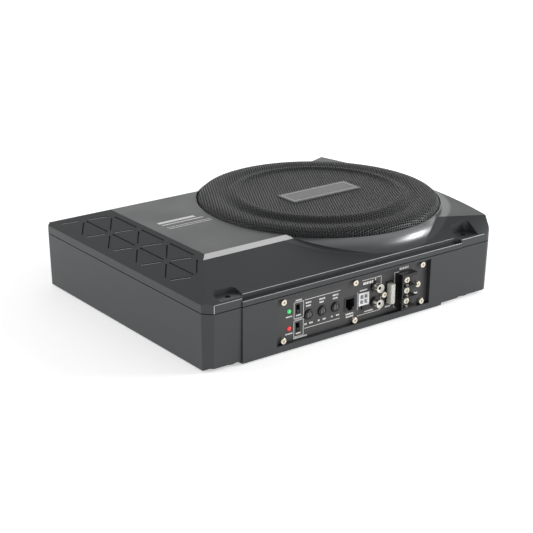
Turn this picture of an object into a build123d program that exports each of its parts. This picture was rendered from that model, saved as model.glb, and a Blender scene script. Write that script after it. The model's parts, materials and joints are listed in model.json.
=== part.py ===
"""Powered car subwoofer: a slim under-seat enclosure with its own amplifier.

Row frame: origin at the bottom centre of the whole object's box, +X along the
front to the right, the control panel faces -Y, +Z up. All sizes in millimetres.
"""
import os
from math import atan2, degrees, hypot

from build123d import *

os.makedirs("parts", exist_ok=True)


def save(piece, name):
    """Label a finished piece and write it as its own STEP file."""
    piece.part.label = name
    export_step(piece.part, f"parts/{name}.step")


# ---------------------------------------------------------------- case
case_length = 356.0          # over the bulged right-hand end
case_depth = 275.0           # over the plain front and back faces
boss_proud = 1.0             # the panel boss stands out of the front by this
end_bulge = 22.2             # how far the right-hand end bows out
left_chamfer = 8.0
right_round = 8.0
foot_proud = 1.5
tray_height = 52.7           # tray underside to seam
rim_height = 7.8             # seam to the cover's rim
seam_gap = 0.8               # gasket thickness at the seam
wall_draft = 1.4             # how far the tray's walls lean in, top to bottom
wall = 4.4
floor_wall = 3.0
cover_wall = 2.8
panel_recess = 4.5           # the control panel's face sits this far inside the boss
terminal_proud = 9.0         # the terminal block stands out of the panel by this

left_x = -case_length / 2
right_x = case_length / 2
front_reach = max(terminal_proud - panel_recess, 0.0)   # past the boss's face
boss_y = -(case_depth + boss_proud + front_reach) / 2 + front_reach
front_y = boss_y + boss_proud
back_y = front_y + case_depth
mid_y = (front_y + back_y) / 2
tray_z = foot_proud
floor_z = tray_z + floor_wall
seam_z = tray_z + tray_height
tray_top_z = seam_z - seam_gap / 2
cover_base_z = seam_z + seam_gap / 2
rim_z = seam_z + rim_height
draft_angle = degrees(atan2(wall_draft, tray_height))

# ---------------------------------------------------------------- cover form
plate_rise = 19.7            # rim to the flat top plate
left_run = 43.7              # width of the grooved left-hand slope
front_run = 65.0             # rim to the plate along the front slope
back_run = 53.0
edge_bevel_run = 6.4         # bright bevel along the plate's front edge
edge_bevel_drop = 2.6
shoulder_rise = 13.3         # rim to the right-hand shoulder
shoulder_run = 4.0

plate_z = rim_z + plate_rise
shoulder_z = rim_z + shoulder_rise

boss_width = 257.0
boss_x = -12.6
boss_slot = (1.0, 1.2)       # width and depth of the groove down the boss's right-hand end
boss_drop_right = 22.0       # the boss's lower lip stops this far short on the right
corner_lift = 2.2            # the tray's corners stand this much above its middle
cove_drop = 2.8              # lip of the cove below the rim
cove_depth = 5.0

# ---------------------------------------------------------------- grille and driver seat
grille_r = 119.6
grille_gap = 0.9             # dark gap round the grille
grille_sheet = 1.0
grille_x = 53.0
grille_y = mid_y
lip_z = plate_z - 1.6        # top of the seat round the grille
grille_seat_z = lip_z - 3.1
driver_seat_z = grille_seat_z - 4.0
seat_ring_z = driver_seat_z - 9.0
skirt_neck_r = grille_r + grille_gap + 1.1
skirt_foot_r = grille_r + 11.4
skirt_foot_z = rim_z + 3.2
flange_r = grille_r - 12.1
flange_gap = 0.8
driver_hole_r = flange_r - 10.5
driver_screw_ring = flange_r - 5.3
driver_screw_count = 8
crest_rise = 6.6             # outer crest of the domed grille above its edge
ridge_rise = 8.8
centre_rise = 6.7

# ---------------------------------------------------------------- mounting holes and screws
mount_x = -11.0
mount_spacing_x = 277.0
mount_spacing_y = 256.0
mount_hole_r = 2.75
mount_post_r = 7.0
pocket_half = 12.5
pocket_back = 8.5
pocket_round = 5.0
pocket_z = rim_z + 0.8
mounts_xy = [(mount_x + sx * mount_spacing_x / 2, mid_y + sy * mount_spacing_y / 2)
             for sx in (-1, 1) for sy in (-1, 1)]

screw_r = 2.0
screw_head_r = 3.6
screw_head = 2.4
screw_hole_r = 2.2
post_r = 5.4
post_inset = 12.0
screw_well_z = seam_z - 14.2
end_post_y = 66.0
front_post_x = (boss_x - boss_width / 2 + 16.0, boss_x + boss_width / 2 - 18.0)
end_post_x = right_x - end_bulge * (end_post_y / (case_depth / 2)) ** 2 - post_inset
posts_xy = [(x, y) for x in front_post_x for y in (front_y + post_inset, back_y - post_inset)]
posts_xy += [(left_x + post_inset, mid_y + s * end_post_y) for s in (-1, 1)]
posts_xy += [(end_post_x, mid_y + s * end_post_y) for s in (-1, 1)]

# ---------------------------------------------------------------- control panel
panel_x = -13.0
panel_width = 180.0
panel_height = 43.4
panel_z = 29.7
panel_sheet = 2.0
panel_gap = 0.35
ledge = 5.4                  # ledge the panel rests on, above and below its opening
ledge_depth = 3.5
ledge_lug = (10.0, 8.0)      # thicker ledge round each panel screw
panel_front = boss_y + panel_recess
panel_back = panel_front + panel_sheet
ledge_back = panel_back + ledge_depth

panel_screw_span = 164.0
panel_screw_z = (-18.9, 17.6)          # from the panel's middle
panel_screw_xz = [(panel_x + side * panel_screw_span / 2, panel_z + rise)
                  for side in (-1, 0, 1) for rise in panel_screw_z]
panel_screw_r = 1.5
panel_screw_head_r = 2.9
panel_screw_head = 3.0
board_front = panel_back + 13.5        # the control board stands behind the panel
board_sheet = 1.6

led_x = panel_x - 74.7
led_z = (panel_z + 6.8, panel_z - 9.4)
led_r = 2.0
led_proud = 1.6

switch_x = panel_x - 64.5
switch_z = (panel_z + 6.9, panel_z - 10.3)
switch_window = (4.4, 8.6)
switch_travel = 4.0

dial_x = [panel_x - 52.5 + 15.4 * i for i in range(3)]
dial_z = panel_z - 1.1
dial_r = 4.4
dial_proud = 1.6
dial_shaft_r = 3.0
running_fit = 0.05

jack_x = panel_x - 4.6
jack_z = panel_z - 2.4
jack_size = (13.4, 13.2)
jack_mouth = (10.0, 8.4)
jack_deep = 12.0

socket_x = panel_x + 11.6
socket_z = panel_z - 1.1
socket_size = 12.4
socket_cell = 3.8
socket_pitch = 4.9

rca_x = panel_x + 25.2
rca_z = (panel_z + 8.1, panel_z - 7.0)
rca_shell_r = 4.15
rca_shell_wall = 0.5
rca_length = 8.0
rca_pin_r = 1.6

fuse_x = panel_x + 42.2
fuse_z = panel_z - 1.8
fuse_body = (5.1, 19.1)
fuse_depth = 10.5
fuse_proud = 6.5

terminal_x = panel_x + 60.3
terminal_z = panel_z - 2.7
terminal_pitch = 10.4
terminal_width = 18.6
terminal_rail = 1.2
terminal_floor_deep = 7.0
terminal_screw_r = 1.95
terminal_plate = 1.0
terminal_rows = [terminal_z + terminal_pitch * i for i in (1, 0, -1)]


def front(y):
    """A plane facing the front at the given depth: its own axes are X and Z."""
    return Plane.XZ.offset(-y)


def end_arc(inset):
    """The right-hand end: top corner, apex and bottom corner of its bow."""
    x = right_x - inset
    return (x - end_bulge, back_y - inset), (x, mid_y), (x - end_bulge, front_y + inset)


def case_outline(z, inset=0.0):
    """Plan of the case at height z: cut corners at the left, a bowed end at the right."""
    cut = left_chamfer - inset * (2 - 2 ** 0.5)
    x, y0, y1 = left_x + inset, front_y + inset, back_y - inset
    top, apex, bottom = end_arc(inset)
    with BuildSketch(Plane.XY.offset(z)) as outline:
        with BuildLine():
            Polyline(bottom, (x + cut, y0), (x, y0 + cut), (x, y1 - cut), (x + cut, y1), top)
            ThreePointArc(top, apex, bottom)
        make_face()
        fillet(outline.vertices().sort_by(Axis.X)[-2:], max(right_round - inset, 1.0))
    return outline.sketch


def roof_section(x, crease_front, crease_back, crest_z, down, base_z, inset):
    """Section across the depth, with its slopes moved in by the wall thickness."""
    with BuildSketch(Plane.YZ.offset(x)) as section:
        Polygon((front_y + inset, base_z), (front_y + inset, rim_z - down),
                (crease_front, crest_z - down), (crease_back, crest_z - down),
                (back_y - inset, rim_z - down), (back_y - inset, base_z), align=None)
    return section.sketch


def cover_form(inset, base_z):
    """Outside of the cover, or its hollow when inset is the wall thickness."""
    down = inset
    slope_shift = inset * 1.4
    bevel_front = front_y + front_run - edge_bevel_run
    with BuildPart() as form:
        # left-hand roof, one section carried along X
        with BuildSketch(Plane.YZ.offset(left_x + inset)):
            Polygon((front_y + inset, base_z), (front_y + inset, rim_z - down),
                    (bevel_front, plate_z - edge_bevel_drop - down),
                    (front_y + front_run, plate_z - down), (back_y - back_run, plate_z - down),
                    (back_y - inset, rim_z - down), (back_y - inset, base_z), align=None)
        extrude(amount=grille_x - left_x - inset)
        # the left-hand slope
        with BuildSketch(front(front_y)):
            Polygon((left_x - 1, rim_z - down), (left_x + slope_shift, rim_z - down),
                    (left_x + left_run + slope_shift, plate_z - down),
                    (left_x + left_run + slope_shift, plate_z + 20), (left_x - 1, plate_z + 20),
                    align=None)
        extrude(amount=-case_depth, mode=Mode.SUBTRACT)
        # right-hand shoulder, drawn out from the roof's section to the end wall
        inner_end = roof_section(grille_x, bevel_front, back_y - front_run + edge_bevel_run,
                                 plate_z - edge_bevel_drop, down, base_z, inset)
        outer_end = roof_section(right_x, front_y + shoulder_run, back_y - shoulder_run,
                                 shoulder_z, down, base_z, inset)
        loft(sections=[inner_end, outer_end], ruled=True)
        extrude(case_outline(base_z, inset), amount=plate_z, mode=Mode.INTERSECT)
    return form.part


def boss_groove(base_z, deep):
    """The groove beside the boss, from base_z up to the rim."""
    with BuildPart() as groove:
        with BuildSketch(Plane.XY.offset(base_z)):
            with Locations((boss_x + boss_width / 2, front_y + deep)):
                Rectangle(boss_slot[0], boss_proud + 2 * deep, align=(Align.MIN, Align.MAX))
        extrude(amount=rim_z - base_z)
    return groove.part


# ================================================================ top cover
hollow = cover_form(cover_wall, cover_base_z - 1.0)
with BuildPart() as cover_keep:
    # metal that stays inside the hollow: the driver's seat ring and the posts
    with BuildSketch(Plane.XY.offset(seat_ring_z)):
        with Locations((grille_x, grille_y)):
            Circle(skirt_neck_r + 1.0)
    extrude(amount=plate_z)
    with BuildSketch(Plane.XY.offset(cover_base_z)):
        with Locations(posts_xy):
            Circle(post_r)
        with Locations(mounts_xy):
            Circle(mount_post_r)
            Rectangle(2 * (pocket_half + cover_wall), 2 * (pocket_back + cover_wall))
        with Locations((boss_x, front_y)):
            Rectangle(boss_width, 2 * (cove_depth + cover_wall))
    extrude(amount=plate_z)

with BuildPart() as cover_hollow:
    add(hollow)
    add(cover_keep.part, mode=Mode.SUBTRACT)

slope_angle = atan2(plate_rise, left_run)
slope_length = hypot(plate_rise, left_run)
slope_plane = Plane(origin=(left_x, mid_y, rim_z), x_dir=(0, -1, 0),
                    z_dir=(-plate_rise / slope_length, 0, left_run / slope_length))
groove_width = 1.5
groove_deep = 1.1
groove_pitch = 47.4
groove_gap = 4.6             # plain metal left at each end of a groove
row_up = [slope_length * share for share in (0.115, 0.5, 0.885)]
row_start = [-case_depth / 2 + 16.3 + groove_pitch / 2 * row for row in range(3)]
row_count = (5, 5, 4)


def groove_nodes(row):
    """Points of the triangle lattice along one row of the left-hand slope."""
    return [(row_start[row] + groove_pitch * k, row_up[row]) for k in range(row_count[row])]


groove_pairs = []
for row in (1, 2):
    along = groove_nodes(row)
    groove_pairs += list(zip(along, along[1:]))
for low, high in ((0, 1), (1, 2)):
    below, above = groove_nodes(low), groove_nodes(high)
    groove_pairs += list(zip(below, above))
    groove_pairs += list(zip(above, below[1:]))

skirt_arc_mid = (skirt_neck_r + 2.6, (skirt_foot_z + lip_z) / 2 - 2.4)
with BuildPart() as top_cover:
    add(cover_form(0.0, cover_base_z))
    # bell-shaped skirt under the grille
    with BuildSketch(Plane(origin=(grille_x, grille_y, 0), x_dir=(1, 0, 0), z_dir=(0, -1, 0))):
        with BuildLine():
            Polyline((skirt_neck_r, lip_z), (0, lip_z), (0, cover_base_z),
                     (skirt_foot_r, cover_base_z), (skirt_foot_r, skirt_foot_z))
            ThreePointArc((skirt_foot_r, skirt_foot_z), skirt_arc_mid, (skirt_neck_r, lip_z))
        make_face()
    revolve(axis=Axis((grille_x, grille_y, 0), (0, 0, 1)))
    extrude(case_outline(cover_base_z), amount=plate_z, mode=Mode.INTERSECT)
    # the boss's upper lip, and the cove above it
    with BuildSketch(Plane.XY.offset(cover_base_z)):
        with Locations((boss_x, boss_y)):
            Rectangle(boss_width, 8.0, align=(Align.CENTER, Align.MIN))
    extrude(amount=rim_z - cove_drop - cover_base_z)
    with BuildSketch(Plane.XY.offset(rim_z - cove_drop)):
        with Locations((boss_x, front_y + cove_depth)):
            Rectangle(boss_width, 2 * cove_depth + 4, align=(Align.CENTER, Align.MAX))
        fillet(vertices().group_by(Axis.Y)[-1], cove_depth - 0.4)
    extrude(amount=30, mode=Mode.SUBTRACT)
    add(cover_hollow.part, mode=Mode.SUBTRACT)
    # seats for the grille and the driver, and the hole the driver drops through
    for seat_z, seat_r in ((grille_seat_z, grille_r + grille_gap),
                           (driver_seat_z, flange_r + flange_gap), (cover_base_z, driver_hole_r)):
        with BuildSketch(Plane.XY.offset(seat_z)):
            with Locations((grille_x, grille_y)):
                Circle(seat_r)
        extrude(amount=plate_z, mode=Mode.SUBTRACT)
    with BuildSketch(Plane.XY.offset(seat_ring_z)):
        with Locations((grille_x, grille_y)):
            with PolarLocations(driver_screw_ring, driver_screw_count):
                Circle(screw_r)
    extrude(amount=plate_z, mode=Mode.SUBTRACT)
    # grooves of the left-hand slope
    with BuildSketch(slope_plane):
        for (u0, v0), (u1, v1) in groove_pairs:
            length = hypot(u1 - u0, v1 - v0) - 2 * groove_gap
            with Locations(Location(((u0 + u1) / 2, (v0 + v1) / 2),
                                    degrees(atan2(v1 - v0, u1 - u0)))):
                SlotOverall(length, groove_width)
    extrude(amount=-groove_deep, mode=Mode.SUBTRACT)
    # pockets and holes at the four mounting points
    for (x, y) in mounts_xy:
        side = 1 if y > mid_y else -1
        with BuildSketch(Plane.XY.offset(pocket_z)):
            with Locations((x, y + side * 6)):
                Rectangle(2 * pocket_half, 2 * pocket_back + 12)
            fillet(vertices(), pocket_round)
        extrude(amount=30, mode=Mode.SUBTRACT)
    with BuildSketch(Plane.XY.offset(cover_base_z)):
        with Locations(mounts_xy):
            Circle(mount_hole_r)
    extrude(amount=plate_z, mode=Mode.SUBTRACT)
    with BuildSketch(Plane.XY.offset(cover_base_z)):
        with Locations(posts_xy):
            Circle(screw_r)
    extrude(amount=6.5, mode=Mode.SUBTRACT)
    add(boss_groove(cover_base_z, boss_slot[1]), mode=Mode.SUBTRACT)
save(top_cover, "top_cover")

# ================================================================ base tray
pad_inner_y = ledge_back
panel_low_z = panel_z - panel_height / 2
panel_top_z = panel_z + panel_height / 2
with BuildPart() as base_tray:
    extrude(case_outline(tray_top_z), amount=-(tray_top_z - tray_z), taper=draft_angle)
    # the boss round the control panel
    with BuildSketch(Plane.XY.offset(tray_top_z)):
        with Locations((boss_x, boss_y)):
            Rectangle(boss_width, 8.0, align=(Align.CENTER, Align.MIN))
    extrude(amount=-(tray_top_z - tray_z), taper=draft_angle / 2)
    # corners stand clear of the ground, the middle does not
    with BuildSketch(Plane.XY.offset(tray_z)):
        with Locations((left_x, mid_y)):
            Rectangle(2 * (boss_x - boss_width / 2 - left_x), 2 * case_depth)
        with Locations((right_x, mid_y)):
            Rectangle(2 * (right_x - boss_x - boss_width / 2 + boss_drop_right), 2 * case_depth)
        with Locations((0, mid_y)):
            Rectangle(case_length, case_depth - 16, mode=Mode.SUBTRACT)
    extrude(amount=corner_lift, mode=Mode.SUBTRACT)
    extrude(case_outline(floor_z, wall), amount=tray_height, mode=Mode.SUBTRACT)
    # thick wall behind the control panel
    with BuildSketch(Plane.XY.offset(tray_z + 1)):
        with Locations((panel_x, front_y + 1)):
            Rectangle(panel_width + 12, pad_inner_y - front_y - 1, align=(Align.CENTER, Align.MIN))
    extrude(amount=tray_top_z - tray_z - 1)
    # posts for the cover's screws and for the mounting bolts
    with BuildSketch(Plane.XY.offset(tray_z + 1)):
        with Locations(posts_xy):
            Circle(post_r)
        with Locations(mounts_xy):
            Circle(mount_post_r)
    extrude(amount=tray_top_z - tray_z - 1)
    with BuildSketch(Plane.XY):
        with Locations(mounts_xy):
            Circle(mount_hole_r)
        with Locations(posts_xy):
            Circle(screw_hole_r)
    extrude(amount=tray_height + 10, mode=Mode.SUBTRACT)
    with BuildSketch(Plane.XY):
        with Locations(posts_xy):
            Circle(screw_head_r + 0.5)
    extrude(amount=screw_well_z, mode=Mode.SUBTRACT)
    # recess for the panel, then the opening behind it between two ledges
    with BuildSketch(front(panel_back)):
        with Locations((panel_x, panel_z)):
            Rectangle(panel_width + 2 * panel_gap, panel_height + 2 * panel_gap)
    extrude(amount=20, mode=Mode.SUBTRACT)
    with BuildSketch(front(ledge_back + 1)):
        with Locations((panel_x, panel_z)):
            Rectangle(panel_width, panel_height - 2 * ledge)
        with Locations(panel_screw_xz):
            Rectangle(*ledge_lug, mode=Mode.SUBTRACT)
    extrude(amount=20, mode=Mode.SUBTRACT)
    with BuildSketch(front(ledge_back + 1)):
        with Locations(panel_screw_xz):
            Circle(panel_screw_r)
    extrude(amount=ledge_depth + 2, mode=Mode.SUBTRACT)
    add(boss_groove(tray_z, boss_slot[1] + wall_draft), mode=Mode.SUBTRACT)
save(base_tray, "base_tray")

gasket_inset = 1.2
gasket_width = 2.6
with BuildPart() as seam_gasket:
    extrude(case_outline(tray_top_z, gasket_inset), amount=seam_gap)
    extrude(case_outline(tray_top_z, gasket_inset + gasket_width), amount=seam_gap,
            mode=Mode.SUBTRACT)
save(seam_gasket, "seam_gasket")

cover_screw_length = 18.0
with BuildPart() as cover_screws:
    with BuildSketch(Plane.XY.offset(screw_well_z - screw_head)):
        with Locations(posts_xy):
            Circle(screw_head_r)
    extrude(amount=screw_head)
    with BuildSketch(Plane.XY.offset(screw_well_z)):
        with Locations(posts_xy):
            Circle(screw_r)
    extrude(amount=cover_screw_length)
save(cover_screws, "cover_screws")

foot_r = 9.0
foot_inset = 30.0
feet_xy = [(boss_x + sx * (boss_width / 2 - foot_inset), mid_y + sy * (case_depth / 2 - foot_inset))
           for sx in (-1, 1) for sy in (-1, 1)]
with BuildPart() as rubber_feet:
    with BuildSketch(Plane.XY):
        with Locations(feet_xy):
            Circle(foot_r)
    extrude(amount=foot_proud)
save(rubber_feet, "rubber_feet")

# ================================================================ grille
edge_z = lip_z
dome = [(grille_r, edge_z - 0.6), (grille_r - 2.2, edge_z + 3.2), (grille_r - 7.0, edge_z + 5.6),
        (grille_r - 16.0, edge_z + crest_rise), (grille_r - 28.5, edge_z + crest_rise - 1.3),
        (grille_r - 34.5, edge_z + ridge_rise - 0.6), (grille_r - 38.0, edge_z + ridge_rise),
        (grille_r - 43.0, edge_z + centre_rise + 0.3), (grille_r - 50.0, edge_z + centre_rise)]
with BuildPart() as grille:
    with BuildSketch(Plane(origin=(grille_x, grille_y, 0), x_dir=(1, 0, 0), z_dir=(0, -1, 0))):
        with BuildLine():
            Line((grille_r, grille_seat_z), dome[0])
            Spline(dome)
            Line(dome[-1], (0, dome[-1][1]))
            Line((0, dome[-1][1]), (0, dome[-1][1] - grille_sheet))
            Line((0, dome[-1][1] - grille_sheet), (dome[-1][0], dome[-1][1] - grille_sheet))
            inner = [(r - grille_sheet * (1 if z < edge_z + 4 else 0.3), z - grille_sheet * 0.9)
                     for r, z in dome[1:-1]]
            Spline([(dome[-1][0], dome[-1][1] - grille_sheet)] + inner[::-1]
                   + [(grille_r - grille_sheet, edge_z - 0.6)])
            Line((grille_r - grille_sheet, edge_z - 0.6), (grille_r - grille_sheet, grille_seat_z))
            Line((grille_r - grille_sheet, grille_seat_z), (grille_r, grille_seat_z))
        make_face()
    revolve(axis=Axis((grille_x, grille_y, 0), (0, 0, 1)))
save(grille, "grille")

seal_r = (grille_r - 9.6, grille_r - 2.0)
seal_height = 2.0
with BuildPart() as grille_seal:
    with BuildSketch(Plane.XY.offset(grille_seat_z)):
        with Locations((grille_x, grille_y)):
            Circle(seal_r[1])
            Circle(seal_r[0], mode=Mode.SUBTRACT)
    extrude(amount=seal_height)
save(grille_seal, "grille_seal")

badge_size = (84.0, 27.0)
badge_thick = 1.2
badge_y = grille_y - 2.0
with BuildPart() as badge_plate:
    with BuildSketch(Plane.XY.offset(edge_z + centre_rise)):
        with Locations((grille_x, badge_y)):
            RectangleRounded(*badge_size, 1.0)
    extrude(amount=badge_thick)
    fillet(badge_plate.faces().sort_by(Axis.Z)[-1].edges(), 0.4)
save(badge_plate, "badge_plate")

# ================================================================ loudspeaker driver
flange = 2.0
basket_sheet = 2.0
basket_foot_z = 32.0
basket_neck_r = 58.0
basket_foot_r = 30.0
basket_mouth_r = driver_hole_r - 1.5
land_z = driver_seat_z + flange
spider_z = 41.0
spider_r = 50.0
window_count = 6
driver_screw_deep = 8.0
gasket_thick = 1.6

magnet_r = (24.0, 55.0)
magnet_thick = 14.0
plate_thick = 6.0
yoke_thick = 4.5
yoke_r = 52.0
top_plate_r = 50.0
pole_r = 18.5
pole_vent_r = 6.0
gap_r = 21.2
yoke_z = basket_foot_z - plate_thick - magnet_thick - yoke_thick
magnet_z = yoke_z + yoke_thick
top_plate_z = magnet_z + magnet_thick

former_r = 19.45
former_sheet = 0.25
coil_r = 20.4
coil_z = (24.0, 36.0)
former_z = (22.0, 52.0)
cone_neck_z = 48.0
cone_edge_r = driver_hole_r - 20.5
cone_edge_z = land_z - 1.0
cone_sheet = 1.2
cap_r = 27.0
cap_rise = 9.0
cone_travel = 6.0
roll_r = 7.4
roll_sheet = 1.0
land_r = (driver_hole_r - 5.4, driver_hole_r - 1.0)


def about_driver():
    """The half-plane a driver part's profile is turned from: radius and height."""
    return Plane(origin=(grille_x, grille_y, 0), x_dir=(1, 0, 0), z_dir=(0, -1, 0))


driver_axis = Axis((grille_x, grille_y, 0), (0, 0, 1))


def driver_ring(name, inner_r, outer_r, low_z, high_z):
    """A plain ring or disc on the driver's axis, saved under its own name."""
    with BuildPart() as ring:
        with BuildSketch(Plane.XY.offset(low_z)):
            with Locations((grille_x, grille_y)):
                Circle(outer_r)
                if inner_r:
                    Circle(inner_r, mode=Mode.SUBTRACT)
        extrude(amount=high_z - low_z)
    save(ring, name)


def cone_z(r):
    """Height of the cone's front face at a radius."""
    share = (r - former_r) / (cone_edge_r - former_r)
    return cone_neck_z + (cone_edge_z - cone_neck_z) * share ** 0.85


with BuildPart() as driver_basket:
    with BuildSketch(about_driver()):
        Polygon((flange_r, driver_seat_z), (flange_r, land_z), (land_r[0], land_z),
                (land_r[0], driver_seat_z - 1), (basket_neck_r, basket_foot_z + basket_sheet),
                (basket_foot_r, basket_foot_z + basket_sheet), (basket_foot_r, basket_foot_z),
                (basket_neck_r + 3, basket_foot_z), (basket_mouth_r, driver_seat_z - 2),
                (basket_mouth_r, driver_seat_z), align=None)
    revolve(axis=driver_axis)
    # shelf for the spider's rim
    shelf_out = basket_neck_r + 9.0
    with BuildSketch(Plane.XY.offset(spider_z - 1.5)):
        with Locations((grille_x, grille_y)):
            Circle(shelf_out)
            Circle(spider_r - 5, mode=Mode.SUBTRACT)
    extrude(amount=1.5)
    # windows between the spokes
    with BuildSketch(Plane.XY.offset(basket_foot_z + 3)):
        with Locations((grille_x, grille_y)):
            Circle(land_r[0] - 3)
            Circle(shelf_out + 1.5, mode=Mode.SUBTRACT)
            with PolarLocations(land_r[0] / 2 + 20, window_count):
                Rectangle(land_r[0], 16, mode=Mode.SUBTRACT)
    extrude(amount=driver_seat_z - basket_foot_z - 6, mode=Mode.SUBTRACT)
    with BuildSketch(Plane.XY.offset(driver_seat_z)):
        with Locations((grille_x, grille_y)):
            with PolarLocations(driver_screw_ring, driver_screw_count):
                Circle(screw_hole_r)
    extrude(amount=flange, mode=Mode.SUBTRACT)
save(driver_basket, "driver_basket")

with BuildPart() as driver_gasket:
    with BuildSketch(Plane.XY.offset(land_z)):
        with Locations((grille_x, grille_y)):
            Circle(flange_r - 0.3)
            Circle(land_r[1] + 0.3, mode=Mode.SUBTRACT)
            with PolarLocations(driver_screw_ring, driver_screw_count):
                Circle(screw_hole_r, mode=Mode.SUBTRACT)
    extrude(amount=gasket_thick)
save(driver_gasket, "driver_gasket")

driver_screw_head = 1.6
with BuildPart() as driver_screws:
    with BuildSketch(Plane.XY.offset(land_z + gasket_thick)):
        with Locations((grille_x, grille_y)):
            with PolarLocations(driver_screw_ring, driver_screw_count):
                Circle(screw_head_r)
    extrude(amount=driver_screw_head)
    fillet(driver_screws.faces().sort_by(Axis.Z)[-driver_screw_count:].edges(), 0.7)
    with BuildSketch(Plane.XY.offset(land_z + gasket_thick)):
        with Locations((grille_x, grille_y)):
            with PolarLocations(driver_screw_ring, driver_screw_count):
                Circle(screw_r)
    extrude(amount=-driver_screw_deep)
save(driver_screws, "driver_screws")

driver_ring("magnet_top_plate", gap_r, top_plate_r, top_plate_z, basket_foot_z)
driver_ring("ring_magnet", magnet_r[0], magnet_r[1], magnet_z, top_plate_z)
driver_ring("coil_former", former_r - former_sheet, former_r, *former_z)
driver_ring("voice_coil", former_r, coil_r, *coil_z)

with BuildPart() as magnet_yoke:
    with BuildSketch(about_driver()):
        Polygon((pole_vent_r, yoke_z), (yoke_r, yoke_z), (yoke_r, magnet_z), (pole_r, magnet_z),
                (pole_r, basket_foot_z), (pole_vent_r, basket_foot_z), align=None)
    revolve(axis=driver_axis)
save(magnet_yoke, "magnet_yoke")

cone_steps = [former_r + (cone_edge_r - former_r) * i / 6 for i in range(7)]
with BuildPart() as cone:
    with BuildSketch(about_driver()):
        with BuildLine():
            Spline([(r, cone_z(r)) for r in cone_steps])
            Line((cone_edge_r, cone_edge_z), (cone_edge_r, cone_edge_z - cone_sheet))
            Spline([(r, cone_z(r) - cone_sheet) for r in cone_steps[::-1]])
            Line((former_r, cone_neck_z - cone_sheet), (former_r, cone_neck_z))
        make_face()
    revolve(axis=driver_axis)
save(cone, "cone")

cap_z = cone_z(cap_r)
cap_sphere_r = (cap_r ** 2 + cap_rise ** 2) / (2 * cap_rise)
cap_middle_z = cap_z + cap_rise - cap_sphere_r
with BuildPart() as dust_cap:
    with Locations((grille_x, grille_y, cap_middle_z)):
        Sphere(cap_sphere_r)
        Sphere(cap_sphere_r - cone_sheet, mode=Mode.SUBTRACT)
    split(bisect_by=Plane.XY.offset(cap_z), keep=Keep.TOP)
save(dust_cap, "dust_cap")

roll_in = cone_edge_r + 0.4
roll_mid = (roll_in + land_r[0]) / 2 + 0.2
with BuildPart() as surround:
    with BuildSketch(about_driver()):
        with BuildLine():
            Polyline((cone_edge_r - 4, cone_edge_z + 0.1), (cone_edge_r - 4, cone_edge_z + 1.1),
                     (roll_mid - roll_r, land_z + 0.1))
            ThreePointArc((roll_mid - roll_r, land_z + 0.1), (roll_mid, land_z + 0.1 + roll_r),
                          (roll_mid + roll_r, land_z + 0.1))
            Polyline((roll_mid + roll_r, land_z + 0.1), (land_r[1], land_z + 0.1 + roll_sheet),
                     (land_r[1], land_z), (roll_mid + roll_r - roll_sheet, land_z))
            ThreePointArc((roll_mid + roll_r - roll_sheet, land_z),
                          (roll_mid, land_z + roll_r - roll_sheet),
                          (roll_mid - roll_r + roll_sheet, land_z))
            Polyline((roll_mid - roll_r + roll_sheet, land_z),
                     (cone_edge_r, cone_edge_z + 0.1), (cone_edge_r - 4, cone_edge_z + 0.1))
        make_face()
    revolve(axis=driver_axis)
save(surround, "surround")

spider_waves = 4
spider_swing = 1.3
spider_sheet = 0.6
spider_in = coil_r + 0.4
wave = (spider_r - 4 - spider_in) / (2 * spider_waves)
spider_top = [(spider_in + wave * i, spider_z + spider_swing + (spider_swing if i % 2 else -spider_swing))
              for i in range(2 * spider_waves + 1)]
with BuildPart() as spider:
    with BuildSketch(about_driver()):
        with BuildLine():
            Polyline((spider_r, spider_z), (spider_r, spider_z + spider_sheet),
                     (spider_top[-1][0], spider_z + spider_sheet))
            Spline([(r, z + spider_sheet) for r, z in spider_top[::-1]])
            Line((spider_in, spider_z + spider_sheet), (spider_in, spider_z))
            Spline(spider_top)
            Line((spider_top[-1][0], spider_z), (spider_r, spider_z))
        make_face()
    revolve(axis=driver_axis)
save(spider, "spider")

# ================================================================ control panel
inner_screw_xz = [(rca_x + 9.7, panel_z - 1.8), (terminal_x + 16.5, panel_z - 0.8)]
led_xz = [(led_x, z) for z in led_z]
switch_xz = [(switch_x, z) for z in switch_z]
dial_xz = [(x, dial_z) for x in dial_x]
rca_xz = [(rca_x, z) for z in rca_z]
terminal_xz = [(terminal_x, z) for z in terminal_rows]
collar_r = rca_shell_r + 0.9
dial_hole_r = dial_r + 0.5
neck_size = (terminal_width - 2.6, 3 * terminal_pitch - 5.4)   # terminal block, through the panel
neck_fit = 0.3

with BuildPart() as control_panel:
    with BuildSketch(front(panel_back)):
        with Locations((panel_x, panel_z)):
            Rectangle(panel_width, panel_height)
        with Locations(panel_screw_xz + inner_screw_xz):
            Circle(panel_screw_r + 0.1, mode=Mode.SUBTRACT)
        with Locations(led_xz):
            Circle(led_r + 0.1, mode=Mode.SUBTRACT)
        with Locations(switch_xz):
            Rectangle(*switch_window, mode=Mode.SUBTRACT)
        with Locations(dial_xz):
            Circle(dial_hole_r, mode=Mode.SUBTRACT)
        with Locations((jack_x, jack_z)):
            Rectangle(*jack_size, mode=Mode.SUBTRACT)
        with Locations((socket_x, socket_z)):
            Rectangle(socket_size, socket_size, mode=Mode.SUBTRACT)
        with Locations((socket_x, socket_z - socket_size / 2 - 2.0)):
            Rectangle(5.0, 4.2, mode=Mode.SUBTRACT)
        with Locations(rca_xz):
            Circle(collar_r, mode=Mode.SUBTRACT)
        with Locations((fuse_x, fuse_z)):
            Rectangle(fuse_body[0] + 3.4, fuse_body[1] + 3.4, mode=Mode.SUBTRACT)
        with Locations((terminal_x, terminal_z)):
            Rectangle(neck_size[0] + 2 * neck_fit, neck_size[1] + 2 * neck_fit, mode=Mode.SUBTRACT)
    extrude(amount=panel_sheet)
save(control_panel, "control_panel")

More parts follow.
